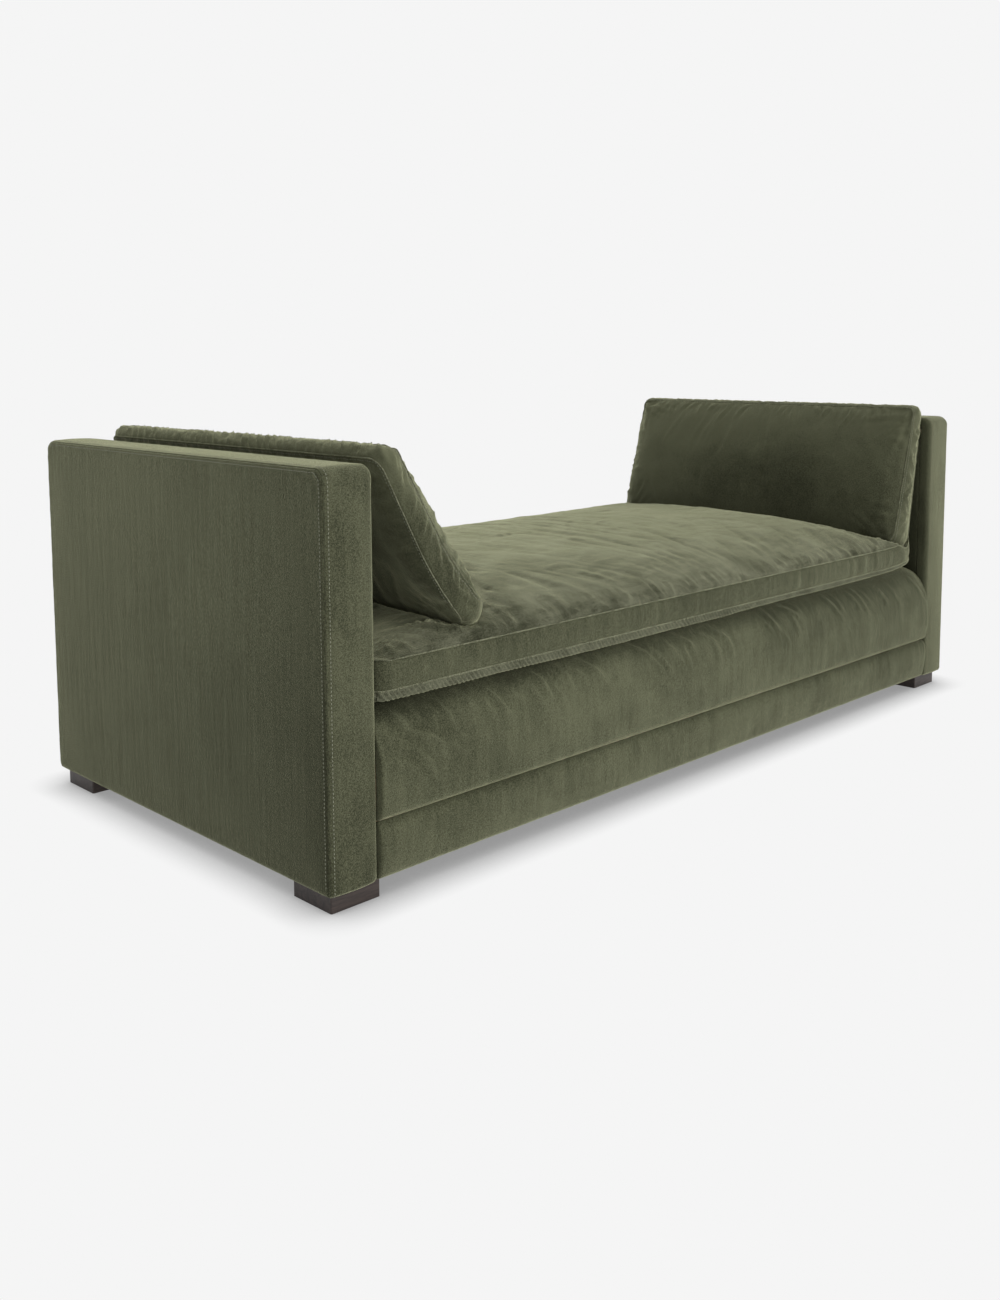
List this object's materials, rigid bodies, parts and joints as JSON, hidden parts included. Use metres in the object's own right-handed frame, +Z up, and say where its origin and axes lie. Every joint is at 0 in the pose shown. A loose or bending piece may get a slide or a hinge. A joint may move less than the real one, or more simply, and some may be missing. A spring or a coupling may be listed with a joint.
{
  "type": "upholstered daybed",
  "caption": "Velvet daybed: slab arms, sprung deck, loose crowned seat cushion and a loose cushion leaning on each arm, on low block feet.",
  "frame": {"origin": "on the floor under the middle of the daybed", "axes": "+X along the length from the left arm to the right arm, -Y to the front, +Z up"},
  "size_m": [2.134, 0.965, 0.7754],
  "materials": {
    "velvet": "olive green velvet, brushed, with bright sheen at grazing angles",
    "lining": "black non-woven dust cloth",
    "raw_wood": "unfinished sawn softwood",
    "board": "brown hardboard",
    "foam": "cream upholstery foam",
    "wadding": "white polyester wadding",
    "burlap": "plain jute cloth",
    "spring_steel": "drawn spring steel",
    "zinc_steel": "zinc plated",
    "dark_wood": "dark espresso stain, satin"
  },
  "bodies": {
    "daybed_frame": {"left_arm_front_post": "raw_wood", "left_arm_back_post": "raw_wood", "left_arm_top_rail": "raw_wood", "left_arm_bottom_rail": "raw_wood", "left_arm_outer_board": "board", "left_arm_inner_board": "board", "left_arm_padding": "foam", "left_arm_outside_panel": "velvet", "left_arm_inside_panel": "velvet", "left_arm_band": "velvet", "right_arm_front_post": "raw_wood", "right_arm_back_post": "raw_wood", "right_arm_top_rail": "raw_wood", "right_arm_bottom_rail": "raw_wood", "right_arm_outer_board": "board", "right_arm_inner_board": "board", "right_arm_padding": "foam", "right_arm_outside_panel": "velvet", "right_arm_inside_panel": "velvet", "right_arm_band": "velvet", "front_rail": "raw_wood", "back_rail": "raw_wood", "left_end_rail": "raw_wood", "right_end_rail": "raw_wood", "cross_rails": "raw_wood", "corner_blocks": "raw_wood", "zigzag_springs": "spring_steel", "spring_clips": "spring_steel", "tie_wires": "spring_steel", "deck_cloth": "burlap", "deck_foam": "foam", "deck_cover": "velvet", "front_padding": "foam", "back_padding": "foam", "front_rail_band": "velvet", "back_rail_band": "velvet", "front_border": "velvet", "back_border": "velvet", "dust_cover": "lining", "arm_bolts": "zinc_steel", "foot_bolts": "zinc_steel", "left_front_foot": "dark_wood", "left_back_foot": "dark_wood", "right_front_foot": "dark_wood", "right_back_foot": "dark_wood"},
    "seat_cushion": {"seat_cushion_cover": "velvet", "seat_cushion_wrap": "wadding", "seat_cushion_core": "foam"},
    "left_end_cushion": {"left_end_cushion_cover": "velvet", "left_end_cushion_fill": "wadding"},
    "right_end_cushion": {"right_end_cushion_cover": "velvet", "right_end_cushion_fill": "wadding"}
  },
  "joints": [
    {"name": "seat_cushion_lift", "type": "slide", "parent": "daybed_frame", "child": "seat_cushion", "axis": [0, 0, 1], "range_m": [0, 0.45]},
    {"name": "left_end_cushion_lift", "type": "slide", "parent": "seat_cushion", "child": "left_end_cushion", "axis": [0, 0, 1], "range_m": [0, 0.4]},
    {"name": "right_end_cushion_lift", "type": "slide", "parent": "seat_cushion", "child": "right_end_cushion", "axis": [0, 0, 1], "range_m": [0, 0.4]}
  ]
}
